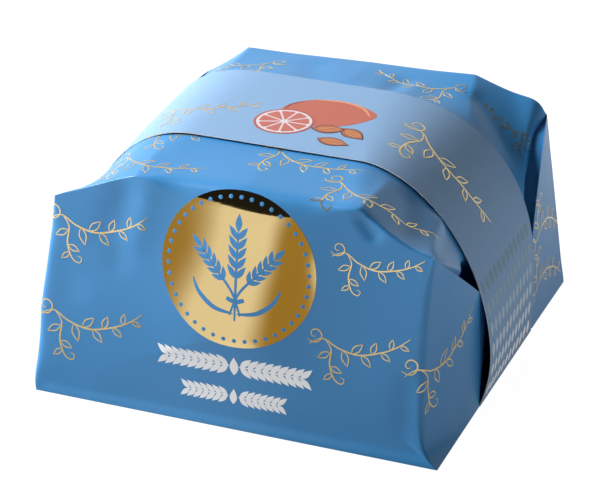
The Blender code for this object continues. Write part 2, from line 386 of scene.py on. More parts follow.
def band_share(y):
    """How far y is on the way from the band's front edge to its back edge."""
    return min(max((y - BAND_FRONT) / (BAND_BACK - BAND_FRONT), 0.0), 1.0)


def shoulder_form(side, y):
    """The start, the reach and the power of the shoulder at the place y."""
    share = band_share(y)
    measures = (SHOULDER_START, SHOULDER_REACH, SHOULDER_POWER)
    return [lerp(measure[side, FRONT], measure[side, BACK], share) for measure in measures]


def shoulder(side, y, turn, inset):
    """A point (x, z) of the shoulder at the place y, for a turn from 0 (belly) to 90 degrees (top)."""
    start, reach, power = shoulder_form(side, y)
    rise = BAND_TOP - BELLY_HEIGHT - inset
    x = start + (reach - inset) * max(math.cos(turn), 0.0) ** (2 / power)
    z = BELLY_HEIGHT + rise * math.sin(turn) ** (2 / power)
    return x, z


def shoulder_turn(side, y, z, inset):
    """The turn at which the shoulder has the height z."""
    power = shoulder_form(side, y)[2]
    rise = BAND_TOP - BELLY_HEIGHT - inset
    return math.asin(max((z - BELLY_HEIGHT) / rise, 0.0) ** (power / 2))


def shoulder_height(side, y, x, inset):
    """The height of the shoulder at the distance x from the middle."""
    start, reach, power = shoulder_form(side, y)
    out = min(max(x - start, 0.0) / (reach - inset), 1.0)
    return BELLY_HEIGHT + (BAND_TOP - BELLY_HEIGHT - inset) * (1 - out ** power) ** (1 / power)


def wall_y(end, x, z):
    """The place of a leaning end wall: the front one stands a little further back at its right."""
    skew = FRONT_SKEW * (x / BASE_SIDE + 0.5) if end == FRONT else 0.0
    return end * (BASE_SIDE / 2 - WALL_LEAN * z) + skew


def ear_height(side, end):
    return EAR_HEIGHT - EAR_DIP[side, end]


def edge_height(side, end, t):
    """The height of a side flap's upper edge, from the ear to its inner end."""
    return ear_height(side, end) - FLAP_DROP[end] * t ** FLAP_DROP_POWER[end]


def upright_fold(side, end, z):
    """The fold between an end wall and a side flap: its foot at the front right sticks out to a tip."""
    rise = z / ear_height(side, end)
    straight = BASE_SIDE / 2 - EAR_INSET * rise
    pulled = FOLD_PULL[side, end] * (1 - math.exp(-z / FOOT_CURL)) * (1 - rise ** 2)
    x = side * (straight - pulled)
    tip = FOOT_TIP * math.exp(-z / FOOT_CURL) if (side, end) == (RIGHT, FRONT) else 0.0
    return Vector((x, wall_y(end, x, z) - tip, z))


def flap_end(end, height_share):
    """The place of a side flap's inner end, under the band."""
    return end * lerp(FLAP_END_FOOT[end], FLAP_END_HEAD[end], height_share ** FLAP_END_POWER[end])


def slope_end(end):
    """The place just outside the band's edge, where the slope takes the band's own shape."""
    return BAND_FRONT - BAND_MARGIN if end == FRONT else BAND_BACK + BAND_MARGIN


def flap_point(side, end, t, w):
    """The side flap: t runs from the upright fold to its inner end, w from the foot to its upper edge."""
    fold = upright_fold(side, end, w * ear_height(side, end))
    fullness = 1 - (1 - t) ** FLAP_FULLNESS
    x = side * lerp(abs(fold.x), lerp(FLAP_FOOT_HALF_WIDTH, FLAP_HEAD_HALF_WIDTH, w ** 2), fullness)
    return Vector((x, lerp(fold.y, flap_end(end, w), t), w * edge_height(side, end, t)))


def crease_point(side, end, w):
    """The crease from an ear up to the corner of the flat top."""
    ear = upright_fold(side, end, ear_height(side, end))
    point = ear.lerp(Vector((side * TOP_HALF_WIDTH[side, end], 0, TOP_HEIGHT[side, end])), w)
    swell = w / SWELL_PLACE * math.exp(1 - w / SWELL_PLACE)
    point.z += EAR_SWELL[side, end] * swell - CREASE_SAG[side, end] * 4 * w * (1 - w)
    point.y = wall_y(end, point.x, point.z)
    return point


def core_point(side, y, low, w):
    """The wrap under the band, from the height low up to the flat top."""
    crease = lerp(CREASE_END[side, FRONT], CREASE_END[side, BACK], band_share(y))
    high = shoulder_height(side, y, crease, CORE_INSET)
    turn = lerp(shoulder_turn(side, y, low, CORE_INSET), shoulder_turn(side, y, high, CORE_INSET), w)
    x, z = shoulder(side, y, turn, CORE_INSET)
    return Vector((side * min(x, CORE_HALF_WIDTH), y, z))


def slope_point(side, end, t, w):
    """The top flap's slope behind the side flap: the lowest share of it fans out from the ear."""
    outer = crease_point(side, end, max((w - KNUCKLE_SHARE) / (1 - KNUCKLE_SHARE), 0.0))
    y = lerp(flap_end(end, 1), slope_end(end), min(w / KNUCKLE_SHARE, 1.0))
    inner = core_point(side, y, edge_height(side, end, 1), w)
    point = outer.lerp(inner, t)
    point.x -= side * FLAP_TUCK[end] * math.sin(math.pi * t) * (1 - w) ** 2
    straight = lerp(ear_height(side, end), edge_height(side, end, 1), t)
    point.z += (edge_height(side, end, t) - straight) * (1 - w) ** 3
    return point


def top_point(side, end, t, w):
    """The flat top, from the slope in to the middle line."""
    start = slope_point(side, end, t, 1)
    ridge = RIDGE_HEIGHT[end]
    pressed_top = BAND_TOP - CORE_INSET
    middle = Vector((0, lerp(wall_y(end, 0, ridge), slope_end(end), t), lerp(ridge, pressed_top, t)))
    point = start.lerp(middle, w)
    rounded = shoulder_height(side, slope_end(end), abs(point.x), CORE_INSET)
    flat = lerp(shoulder_height(side, slope_end(end), abs(start.x), CORE_INSET), pressed_top, w)
    point.z += (rounded - flat) * t ** 3
    return point


# The flap's edge is a fold of its own with a crevice behind it, and beside the band the slope
# falls into a dark hollow
CREVICE_DEPTH = 5.0 * MM
LIP_WIDTH = 0.9 * MM
LIP_RISE = 0.25 * MM
LIP_FALL = 0.2 * MM
HOLLOW_DEPTH = {FRONT: 14.0 * MM, BACK: 15.0 * MM}
HOLLOW_START = {FRONT: 0.60, BACK: 0.45}
HOLLOW_SHARE = {FRONT: 0.33, BACK: 0.38}
HOLLOW_RAMP = 0.16
HOLLOW_STEEPNESS = 1.6


def hollow(end, t, w):
    """How far the slope is pulled in beside the band."""
    inward = smooth((t - HOLLOW_START[end] - w) / HOLLOW_RAMP)
    return HOLLOW_DEPTH[end] * inward * smooth(HOLLOW_STEEPNESS * (1 - w / HOLLOW_SHARE[end]))


def half_rib(side, end, t):
    """The points of one half-section, from the foot up and in to the middle line."""
    points = [flap_point(side, end, t, w) for w in WALL_SHARES]
    edge = points[-1]
    deep = CREVICE_DEPTH * math.sin(math.pi / 2 * t)
    for inward, rise in ((0.5, LIP_RISE * t), (1.0, -LIP_FALL * t), (1.3, -deep)):
        points.append(edge + Vector((-side * LIP_WIDTH * inward * t, 0, rise)))
    for w in SLOPE_SHARES:
        point = slope_point(side, end, t, w)
        point.x -= side * (hollow(end, t, w) + LIP_WIDTH * 1.4 * t * (1 - w) ** 8)
        point.z -= deep * (1 - w) ** 20
        points.append(point)
    points += [top_point(side, end, t, w) for w in TOP_SHARES]
    return points


def fold_radii(side, end):
    """The radius of the end wall's rim at each point of a half-section."""
    radii = []
    for w in WALL_SHARES:
        swell = min(math.sin(math.pi * w) * 2, 1.0)
        radii.append(lerp(lerp(FOOT_RADIUS, EAR_RADIUS, w), FOLD_RADIUS[side], swell))
    radii += [EAR_RADIUS] * 3
    for w in SLOPE_SHARES:
        radii.append(EAR_RADIUS if w < KNUCKLE_SHARE else CREASE_RADIUS[side])
    return radii + [lerp(CREASE_RADIUS[side], RIDGE_RADIUS[end], smooth(w / PINCH_SHARE)) for w in TOP_SHARES]


def wall_heart(end):
    return Vector((0, wall_y(end, 0, EAR_HEIGHT / 2), EAR_HEIGHT / 2))


def rounded_rim(side, end):
    """The half-sections that roll from the end wall over onto the sides and the top."""
    corners = half_rib(side, end, 0)
    onward = half_rib(side, end, RIM_REACH)
    heart = wall_heart(end)
    ribs = []
    for step in range(FOLD_STEPS + 1):
        turn = step / FOLD_STEPS
        rib = []
        for corner, further, radius in zip(corners, onward, fold_radii(side, end)):
            before = corner + (heart - corner).normalized() * radius
            after = corner + (further - corner).normalized() * radius
            pull = 2 * turn * (1 - turn) * (1 + RIDGE_PULL * radius / RIDGE_RADIUS[FRONT])
            total = (1 - turn) ** 2 + pull + turn ** 2
            rib.append((before * (1 - turn) ** 2 + corner * pull + after * turn ** 2) / total)
        ribs.append(rib)
    return ribs


def flap_ribs(side, end):
    """The half-sections from the rim of an end wall to the inner ends of the flaps."""
    ribs = rounded_rim(side, end)
    join = half_rib(side, end, JOIN_STEP / FLAP_STEPS)
    rim = ribs[-1]
    for step in range(1, JOIN_STEP):
        ribs.append([a.lerp(b, step / JOIN_STEP) for a, b in zip(rim, join)])
    ribs += [half_rib(side, end, step / FLAP_STEPS) for step in range(JOIN_STEP, FLAP_STEPS + 1)]
    return ribs


def core_rib(side, share):
    """A half-section under the band: share runs from the front flap's end to the back flap's."""
    low = lerp(edge_height(side, FRONT, 1), edge_height(side, BACK, 1), share)
    fade = {FRONT: smooth(1 - share * 3), BACK: smooth(1 - (1 - share) * 3)}
    points = []
    for w in WALL_SHARES + [1.0] * 3:
        y = lerp(flap_end(FRONT, w) + FLAP_CURL, flap_end(BACK, w) - FLAP_CURL, share)
        points.append(Vector((side * CORE_HALF_WIDTH, y, lerp(CHANNEL_DEPTH, low, w))))
    for w in SLOPE_SHARES:
        above = min(w / KNUCKLE_SHARE, 1.0)
        y = lerp(lerp(flap_end(FRONT, 1), slope_end(FRONT), above) + FLAP_CURL,
                 lerp(flap_end(BACK, 1), slope_end(BACK), above) - FLAP_CURL, share)
        point = core_point(side, y, low, w)
        point.x -= side * sum(fade[end] * hollow(end, 1, w) for end in (FRONT, BACK))
        points.append(point)
    edge = points[-1]
    for w in TOP_SHARES:
        x = abs(edge.x) * (1 - w)
        points.append(Vector((side * x, edge.y, shoulder_height(side, edge.y, x, CORE_INSET))))
    return points


def half_ribs(side):
    """All half-sections of one side, from the front wall to the back wall."""
    core = [core_rib(side, step / CORE_STEPS) for step in range(CORE_STEPS + 1)]
    return flap_ribs(side, FRONT) + core + flap_ribs(side, BACK)[::-1]


# Soft bends and dents pressed into the paper: from a point to a point, the reach of the bend, and
# how far the paper moves
BENDS = [
    ((-54, -99, 127), (-60, -103, 100), 9, (0, -0.8, 0)),
    ((-69, -100, 122), (-77, -104, 98), 8, (0, 0.8, 0)),
    ((-104, -108, 72), (-98, -108, 66), 9, (0, 0.8, 0)),
    ((-106, -102, 116), (-114, -110, 50), 13, (-1.6, 0, 0.9)),
    ((-11, -105, 60), (11, -103, 102), 42, (0, -5.0, 0)),
    ((-78, -47, 128), (-108, -47, 98), 12, (-0.5, 0, 0.5)),
    ((25, 55, 134), (27, 76, 134), 6, (0, 0, -1.4)),
    ((34, 55, 134), (36, 72, 134), 7, (0, 0, 0.8)),
    ((-20, 56, 134), (-28, 80, 133), 9, (0, 0, -0.8)),
    ((68, -97, 129), (74, -99, 122), 4, (-1.0, 1.4, -1.0)),
    ((102, -94, 111), (92, -52, 110), 6, (1.9, 0, 1.5)),
    ((86, -82, 118), (78, -56, 122), 8, (-1.2, 0, -1.4)),
    ((60, -88, 134), (52, -60, 136), 7, (0.3, 0, 0.9)),
    ((74, 78, 126), (98, 62, 108), 8, (-1.2, 0, -1.4)),
    ((98, -110, 40), (99, -112, 20), 8, (0, 0.8, 0)),
    ((-64, -101, 118), (-70, -106, 84), 7, (0, 0.7, 0)),
]
RIPPLE_HEIGHT = 0.30 * MM
RIPPLE_LENGTH = 38 * MM
RIPPLE_FOOT = 12 * MM
BEND_LIMIT = 3


def pressed(point):
    """A point of the wrap after the bends and a faint ripple."""
    moved = point.copy()
    for start, stop, reach, push in BENDS:
        a, b = Vector(start) * MM, Vector(stop) * MM
        span = b - a
        share = min(max((point - a).dot(span) / span.length_squared, 0.0), 1.0)
        gap = (point - a - span * share).length / (reach * MM)
        if gap < BEND_LIMIT:
            moved += Vector(push) * MM * math.exp(-gap * gap)
    ripple = noise.noise_vector(point / RIPPLE_LENGTH)
    held = smooth(point.z / RIPPLE_FOOT)
    return moved + ripple * RIPPLE_HEIGHT * held


WALL_SETTLE = 0.1


def inner_wall(end, rim_point, share):
    """A point of an end wall on the way from its rim to its middle."""
    point = rim_point.lerp(wall_heart(end), share)
    point.y = lerp(point.y, wall_y(end, point.x, point.z), smooth(share / WALL_SETTLE))
    return point


def skin(mesh, rings):
    """Faces between closed rings of points, each ring to the next."""
    for here, there in zip(rings, rings[1:]):
        for i in range(len(here)):
            j = (i + 1) % len(here)
            mesh.faces.new((here[i], here[j], there[j], there[i]))


def build_wrap():
    """The whole skin: the front wall's rings, the loops round the pack, and the back wall's rings."""
    left, right = half_ribs(LEFT), half_ribs(RIGHT)
    mesh = bmesh.new()
    loops = [west[:-1] + east[::-1] for west, east in zip(left, right)]
    walls = {}
    for end, rim in ((FRONT, loops[0]), (BACK, loops[-1])):
        rings = [[inner_wall(end, p, step / RING_STEPS) for p in rim] for step in range(1, RING_STEPS)]
        walls[end] = rings[::-1]
    sheets = walls[FRONT] + loops + walls[BACK][::-1]
    rows = [[mesh.verts.new(pressed(p)) for p in loop] for loop in sheets]
    skin(mesh, rows)
    mesh.faces.new(rows[0][::-1])
    mesh.faces.new(rows[-1])
    bmesh.ops.recalc_face_normals(mesh, faces=mesh.faces)
    return mesh


# Offset-printed paper with a satin water-based coat: an even blue with a soft sheen, and the
# faint grain of its fibres.
FIBRE_GRAIN = 0.9 * MM
CLOUD_SIZE = 30 * MM
satin_paper = new_material("satin_coated_blue_paper", {"Roughness": 0.37, "IOR": 1.45})
paper_axes = add_node(satin_paper, "TexCoord")
fibres = add_node(satin_paper, "TexNoise", values={"Scale": 1 / FIBRE_GRAIN, "Detail": 3.0},
                  links={"Vector": (paper_axes, "Object")})
cloud = add_node(satin_paper, "TexNoise", values={"Scale": 1 / CLOUD_SIZE, "Detail": 2.0},
                 links={"Vector": (paper_axes, "Object")})
tint = add_node(satin_paper, "Mix", {"data_type": "RGBA"},
                values={"A": linear("#3B82BB"), "B": linear("#3E86BF")},
                links={"Factor": (cloud, "Fac")})
feed(satin_paper, "Base Color", tint, "Result")
relief = add_node(satin_paper, "Bump", values={"Strength": 0.08, "Distance": 0.05 * MM},
                  links={"Height": (fibres, "Fac")})
feed(satin_paper, "Normal", relief, "Normal")

wrap = add_piece("paper_wrap", build_wrap(), [satin_paper], smooth_angle=math.radians(50))
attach(wrap, "root")
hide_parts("wrap")

# The belly band: a strip of uncoated paper with a linen emboss, glued under the base and drawn
# tight over the shoulders. Its cut edges show the white core.
BAND_SHOULDER_STEPS = 64
BAND_BELLY_STEPS = 12
BAND_WIDTH_STEPS = 24


def band_half(side, y, inset):
    """One half of the band's section at the place y, from its foot up to the middle."""
    belly = shoulder(side, y, 0, inset)[0]
    foot = BAND_FOOT - inset
    points = []
    for i in range(BAND_BELLY_STEPS):
        rise = i / BAND_BELLY_STEPS
        x = lerp(foot, belly, 1 - (1 - rise) ** 2)
        points.append(Vector((side * x, y, lerp(inset, BELLY_HEIGHT, rise))))
    for i in range(BAND_SHOULDER_STEPS + 1):
        x, z = shoulder(side, y, math.pi / 2 * i / BAND_SHOULDER_STEPS, inset)
        points.append(Vector((side * x, y, z)))
    return points


def running_lengths(points):
    """The length of a path up to each of its points."""
    run = [0.0]
    for a, b in zip(points, points[1:]):
        run.append(run[-1] + (b - a).length)
    return run


def build_band():
    """The closed loop of paper, with its outer skin's length along the band as its print map."""
    mesh = bmesh.new()
    uv = mesh.loops.layers.uv.new("band_metres")
    skins = []
    lengths = []
    for inset in (0, BAND_PAPER):
        rows = []
        for step in range(BAND_WIDTH_STEPS + 1):
            y = lerp(BAND_FRONT, BAND_BACK, step / BAND_WIDTH_STEPS)
            points = band_half(LEFT, y, inset) + band_half(RIGHT, y, inset)[::-1]
            rows.append([mesh.verts.new(p) for p in points])
            if inset == 0:
                lengths.append(running_lengths(points))
        skins.append(rows)
    outer, inner = skins
    count = len(outer[0])
    for i in range(count):
        j = (i + 1) % count
        for step in range(BAND_WIDTH_STEPS):
            corners = ((step, i), (step, j), (step + 1, j), (step + 1, i))
            face = mesh.faces.new([outer[s][k] for s, k in corners])
            for corner, (s, k) in zip(face.loops, corners):
                y = lerp(BAND_FRONT, BAND_BACK, s / BAND_WIDTH_STEPS)
                corner[uv].uv = (lengths[s][k], y)
            mesh.faces.new((inner[step][j], inner[step][i], inner[step + 1][i], inner[step + 1][j]))
        for edge in (mesh.faces.new((inner[0][i], inner[0][j], outer[0][j], outer[0][i])),
                     mesh.faces.new((outer[-1][i], outer[-1][j], inner[-1][j], inner[-1][i]))):
            edge.material_index = 1
    bmesh.ops.recalc_face_normals(mesh, faces=mesh.faces)
    return mesh


# Uncoated paper, printed in a greyed blue and pressed between rollers with a linen weave: matt, with
# raised threads that catch the light. Their colour is painted lighter than the hollows between them,
# a painted highlight and painted shade on top of the bump. The real threads are half as wide: they
# are drawn so coarse that they show.
LINEN_PITCH = 1.25 * MM
LINEN_WANDER = 5 * MM
linen_paper = new_material("linen_embossed_paper", {"Roughness": 0.75})
spread = add_node(linen_paper, "UVMap", {"uv_map": "band_metres"})
wobble = add_node(linen_paper, "TexNoise", values={"Scale": 1 / LINEN_WANDER, "Detail": 2.0},
                  links={"Vector": (spread, "UV")})
ways = add_node(linen_paper, "SeparateXYZ", links={"Vector": (spread, "UV")})
threads = []
for axis in ("X", "Y"):
    turns = add_node(linen_paper, "Math", {"operation": "MULTIPLY_ADD"},
                     values={1: 2 * math.pi / LINEN_PITCH},
                     links={0: (ways, axis), 2: (wobble, "Fac")})
    thread = add_node(linen_paper, "Math", {"operation": "SINE"}, links={0: (turns, 0)})
    threads.append(thread)
weave = add_node(linen_paper, "Math", {"operation": "MAXIMUM"},
                 links={0: (threads[0], 0), 1: (threads[1], 0)})
raised = add_node(linen_paper, "MapRange", values={"From Min": -1.0},
                  links={"Value": (weave, 0)})
# Painted highlight on the raised threads and painted shade in the hollows between them, in the base colour
painted_thread_shading = add_node(linen_paper, "Mix", {"data_type": "RGBA"},
                values={"A": linear("#6586AE"), "B": linear("#84A8CC")},
                links={"Factor": (raised, "Result")})
feed(linen_paper, "Base Color", painted_thread_shading, "Result")
emboss = add_node(linen_paper, "Bump", values={"Strength": 0.8, "Distance": 0.12 * MM},
                  links={"Height": (raised, "Result")})
feed(linen_paper, "Normal", emboss, "Normal")

# The bleached core of the paper, bare where it is cut: a thin, matt, white line along the edges.
paper_core = new_material("white_paper_core", {"Base Color": "#F4F7FA", "Roughness": 0.9})

band = add_piece("belly_band", build_band(), [linen_paper, paper_core], smooth_angle=math.radians(40))
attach(band, "root")
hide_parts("band")

# How a print is laid on the folded paper: rays find the sections of a sheet, which are then measured
# along the paper, so that a print runs over a fold as the real one does. Fans are in degrees.
wrap_tree = BVHTree.FromObject(wrap, bpy.context.evaluated_depsgraph_get())
band_tree = BVHTree.FromObject(band, bpy.context.evaluated_depsgraph_get())
RAY_REACH = 0.4


def unrolled(tree, hearts, fan, zero):
    """A function from (row, length) to a place and a normal on the paper."""
    rows = sorted(hearts)
    sections = []
    for row in rows:
        spots = []
        for way in fan:
            found = tree.ray_cast(hearts[row] + way * RAY_REACH, -way)[0]
            if found is not None:
                spots.append(found)
        run = running_lengths(spots)
        start = run[zero(spots)]
        sections.append(([length - start for length in run], spots))

    def along(section, length):
        run, spots = section
        i = min(max(bisect.bisect_right(run, length) - 1, 0), len(run) - 2)
        return spots[i].lerp(spots[i + 1], (length - run[i]) / max(run[i + 1] - run[i], 1e-9))

    def place_at(row, length):
        i = min(max(bisect.bisect_right(rows, row) - 1, 0), len(rows) - 2)
        share = (row - rows[i]) / (rows[i + 1] - rows[i])
        spot = along(sections[i], length).lerp(along(sections[i + 1], length), share)
        found, normal, _, _ = tree.find_nearest(spot)
        return found, normal

    return place_at


def fan_of(start, stop, steps, across, up):
    """Ray directions that turn from the level direction across towards up, in degrees."""
    ways = []
    for i in range(steps + 1):
        angle = math.radians(lerp(start, stop, i / steps))
        ways.append(across * math.cos(angle) + up * math.sin(angle))
    return ways


def upright(sheet):
    """The same sheet with its two measures in the print's order."""
    return lambda across, up: sheet(up, across)


def end_sheet(end):
    """The end wall and the top beyond its ridge: (x, length from the foot)."""
    hearts = {x * MM: Vector((x * MM, end * 40 * MM, 45 * MM)) for x in range(-104, 105, 4)}
    fan = fan_of(-30, 96, 150, Vector((0, end, 0)), Vector((0, 0, 1)))
    return unrolled(wrap_tree, hearts, fan, lambda spots: 0)


def corner_sheet(side, end):
    """The side flap round the upright fold: (length from the fold, height)."""
    hearts = {z * MM: Vector((side * 60 * MM, end * 60 * MM, z * MM)) for z in range(4, 113, 4)}
    fan = fan_of(-30, 115, 150, Vector((0, end, 0)), Vector((side, 0, 0)))
    return upright(unrolled(wrap_tree, hearts, fan, lambda spots: max(
        range(len(spots)), key=lambda i: (spots[i].xy - Vector((side, end)) * 60 * MM).length)))


def band_sheet():
    """The belly band: (length from the middle of the top, to the right, y)."""
    hearts = {y * MM: Vector((0, y * MM, 50 * MM)) for y in range(-44, 50, 4)}
    fan = fan_of(-118, 118, 300, Vector((0, 0, 1)), Vector((1, 0, 0)))
    return upright(unrolled(band_tree, hearts, fan, lambda spots: min(
        range(len(spots)), key=lambda i: abs(spots[i].x))))


def ahead(x, y, angle, length):
    """The point at a length from (x, y), at an angle."""
    return x + math.cos(angle) * length, y + math.sin(angle) * length


def curve_through(points, step):
    """Points at even steps on a smooth curve through the given ones."""
    ends = [points[0]] + list(points) + [points[-1]]
    path = []
    for a, b, c, d in zip(ends, ends[1:], ends[2:], ends[3:]):
        count = max(int(math.dist(b, c) / step), 1)
        for i in range(count):
            t = i / count
            path.append([0.5 * (2 * q + (r - p) * t + (2 * p - 5 * q + 4 * r - s) * t * t
                                + (3 * q - p - 3 * r + s) * t ** 3) for p, q, r, s in zip(a, b, c, d)])
    path.append(list(points[-1]))
    return path


def pen_line(points, width, step=0.9, taper=0.7):
    """A pen line as rows of two points, which thins out towards its ends."""
    path = curve_through(points, step)
    rows = []
    for i, (x, y) in enumerate(path):
        before, after = path[max(i - 1, 0)], path[min(i + 1, len(path) - 1)]
        angle = math.atan2(after[1] - before[1], after[0] - before[0])
        half = width / 2 * (1 - taper + taper * max(math.sin(math.pi * i / (len(path) - 1)), 0.0) ** 0.6)
        rows.append([ahead(x, y, angle + math.pi / 2, c) for c in (-half, half)])
    return rows


def cross_row(x, y, angle, length, half):
    """Three points across a line from (x, y) at an angle, at a length from its start."""
    return [ahead(*ahead(x, y, angle, length), angle + math.pi / 2, c) for c in (-half, 0, half)]


def leaf_shape(x, y, angle, length, width, steps=8):
    """A filled leaf or grain from its foot at (x, y)."""
    rows = []
    for i in range(steps + 1):
        t = i / steps
        half = width / 2 * max(math.sin(math.pi * t ** 0.85), 0.05)
        rows.append(cross_row(x, y, angle, t * length, half))
    return rows


def disc_shape(x, y, radius, steps=6, dome=0.0):
    """A filled disc as a bent square grid, raised to a dome."""
    rows = []
    for i in range(steps + 1):
        a = 2 * i / steps - 1
        row = []
        for j in range(steps + 1):
            b = 2 * j / steps - 1
            p, q = a * math.sqrt(1 - b * b / 2), b * math.sqrt(1 - a * a / 2)
            row.append((x + radius * p, y + radius * q, dome * (1 - p * p - q * q)))
        rows.append(row)
    return rows


# A print's slab sinks a little into the paper, so that no gap shows at its edge
INK_SINK = 0.06 * MM


def lay(mesh, shapes, sheet, spot, turn=0.0, lift=0.1, size=1.0):
    """Lay shapes, in millimetres round the spot, on a sheet as thin closed slabs.

    Each row of a slab is a ring: out over its top and back under it.
    """
    cos, sin = math.cos(math.radians(turn)) * size, math.sin(math.radians(turn)) * size
    for shape in shapes:
        rings = []
        for row in shape:
            top, under = [], []
            for x, y, *dome in row:
                found, normal = sheet((spot[0] + x * cos - y * sin) * MM, (spot[1] + x * sin + y * cos) * MM)
                top.append(mesh.verts.new(found + normal * (lift + sum(dome)) * MM))
                under.append(mesh.verts.new(found - normal * INK_SINK))
            rings.append(top + under[::-1])
        skin(mesh, rings)
        for ring in (rings[0], rings[-1]):
            for i in range(len(ring) // 2 - 1):
                mesh.faces.new((ring[i], ring[i + 1], ring[-2 - i], ring[-1 - i]))


def add_print(name, mesh, material):
    """Turn the slabs of a print into a piece that rides on the pack."""
    bmesh.ops.recalc_face_normals(mesh, faces=mesh.faces)
    piece = add_piece(name, mesh, [material], smooth_angle=math.radians(45))
    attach(piece, "root")


front_sheet, back_sheet = end_sheet(FRONT), end_sheet(BACK)
right_sheet, right_back_sheet = corner_sheet(RIGHT, FRONT), corner_sheet(RIGHT, BACK)
left_sheet, left_back_sheet = corner_sheet(LEFT, FRONT), corner_sheet(LEFT, BACK)
strap_sheet = band_sheet()

# The seal: a disc of hot-stamped foil on the front wall, whose top rolls over the ridge. A ring of
# embossed dots and a sheaf of wheat are left out of the foil, and the blue paper shows there.
SEAL_RADIUS = 44.0
SEAL_SPOT = (0.5, 92.6)
SHEAF_SPOT = (0.5, 94.0)
SEAL_DOTS = 42
DOT_RADIUS = 1.2
DOT_RING = 0.912

# Hot-stamped foil, a metal film under gold lacquer, pressed on smooth: it mirrors what is in front
# of it with only a little blur.
FOIL_GOLD = "#E8CF95"
foil_look = {"Base Color": FOIL_GOLD, "Metallic": 1.0, "Roughness": 0.07}
gold_foil = new_material("hot_stamped_gold_foil", foil_look)

mesh = bmesh.new()
lay(mesh, [disc_shape(0, 0, SEAL_RADIUS, 80)], front_sheet, SEAL_SPOT, lift=0.10)
add_print("gold_seal", mesh, gold_foil)

GRAIN_PAIRS = 5
GRAIN_START = 0.8
GRAIN_LEAN = 0.62


def point_before(path, length):
    """The point at a length before the path's end, and the way the path runs there."""
    for (x, y), (x2, y2) in zip(path[-2::-1], path[:0:-1]):
        step = math.dist((x, y), (x2, y2))
        if length <= step:
            share = length / step
            return lerp(x2, x, share), lerp(y2, y, share), math.atan2(y2 - y, x2 - x)
        length -= step


def wheat_ear(path, grain_length, pitch):
    """One ear: its stalk, pairs of grains and a grain at its tip."""
    stalk = curve_through(path, 1.0)
    shapes = [pen_line(path, 1.5, taper=0.4)]
    for i in range(GRAIN_PAIRS):
        x, y, angle = point_before(stalk, (i + GRAIN_START) * pitch)
        for side in (-1, 1):
            lean = angle + side * GRAIN_LEAN
            shapes.append(leaf_shape(x, y, lean, grain_length, grain_length * 0.36))
    x, y, angle = point_before(stalk, 0.0)
    shapes.append(leaf_shape(x, y, angle, grain_length * 1.1, grain_length * 0.42))
    return shapes


# The dots and the sheaf lie over the disc as thin slabs of the wrap's own paper.
mesh = bmesh.new()
dots = []
for i in range(SEAL_DOTS):
    angle = 2 * math.pi * (i + 0.5) / SEAL_DOTS
    dots.append(disc_shape(*ahead(0, 0, angle, SEAL_RADIUS * DOT_RING), DOT_RADIUS, dome=0.12))
lay(mesh, dots, front_sheet, SEAL_SPOT, lift=0.13)
sheaf = wheat_ear([(0, -30), (0, -10), (0, 10), (0, 20)], 9.0, 5.4)
for side in (-1, 1):
    sheaf += wheat_ear([(side * -3, -27), (side * 2, -14), (side * 12, -2), (side * 21, 8)], 7.6, 4.4)
    leaf = [(side * 1, -26), (side * 12, -24), (side * 21, -17), (side * 25, -9)]
    sheaf.append(pen_line(leaf, 2.6, taper=0.95))
sheaf.append(pen_line([(-5, -17.5), (0, -19), (5, -17.5)], 2.6, taper=0.2))
lay(mesh, sheaf, front_sheet, SHEAF_SPOT, lift=0.14)
add_print("seal_relief", mesh, satin_paper)

# Gold flourishes: sprigs drawn with a fine pen and stamped in foil, scattered over the whole sheet
# before it was folded.
STEM_PEN = 0.95
CURL_PEN = 0.8
LEAF_PEN = 0.72
LEAF_BULGE = 0.42
SPRIG_STEM = [(0, 3), (9, 6.5), (18, 1), (30, -2.5), (44, 0), (54, 4), (63, 10)]


def leaf_outline(x, y, lean, length):
    """Two pen lines that meet at the leaf's tip."""
    lines = []
    for bulge in (-LEAF_BULGE, LEAF_BULGE):
        bow = [(x, y), ahead(x, y, lean + bulge, length * 0.5), ahead(x, y, lean, length)]
        lines.append(pen_line(bow, LEAF_PEN, 0.9, 0.75))
    return lines


def sprig():
    """A running stem with outlined leaves, a curl at its start and one long hanging leaf."""
    stem = curve_through(SPRIG_STEM, 1.0)
    shapes = [pen_line(SPRIG_STEM, STEM_PEN)]
    curl = []
    for i in range(15):
        angle = math.pi * (1.15 + 0.18 * i)
        radius = 5.6 - 0.32 * i
        curl.append(ahead(4.2, 9.0, angle, radius))
    shapes.append(pen_line(curl, CURL_PEN))
    tail = [(10, 6.4), (13.5, 0), (12, -10), (14.5, -19), (19, -21.5), (20.5, -18.5), (18, -17.5)]
    shapes.append(pen_line(tail, STEM_PEN))
    for x, y, lean, length in ((12.9, -2, 205, 9.0), (12.3, -11, -28, 8.0), (13.3, -15.5, 215, 7.0)):
        shapes += leaf_outline(x, y, math.radians(lean), length)
    for number, share in enumerate((0.34, 0.43, 0.52, 0.61, 0.70, 0.79, 0.88)):
        i = int(share * (len(stem) - 1))
        (x, y), (x2, y2) = stem[i], stem[i + 1]
        lean = math.atan2(y2 - y, x2 - x) + math.radians(52 if number % 2 else -56)
        length = 10.5 - 0.7 * number
        shapes += leaf_outline(x, y, lean, length)
    return shapes


# The same foil in fine lines: the paper's tooth breaks it up, so that it scatters a part of the
# light and stays gold where smooth foil mirrors the dark room.
broken_look = {"Base Color": FOIL_GOLD, "Metallic": 0.8, "Roughness": 0.18}
broken_foil = new_material("gold_foil_in_fine_lines", broken_look)

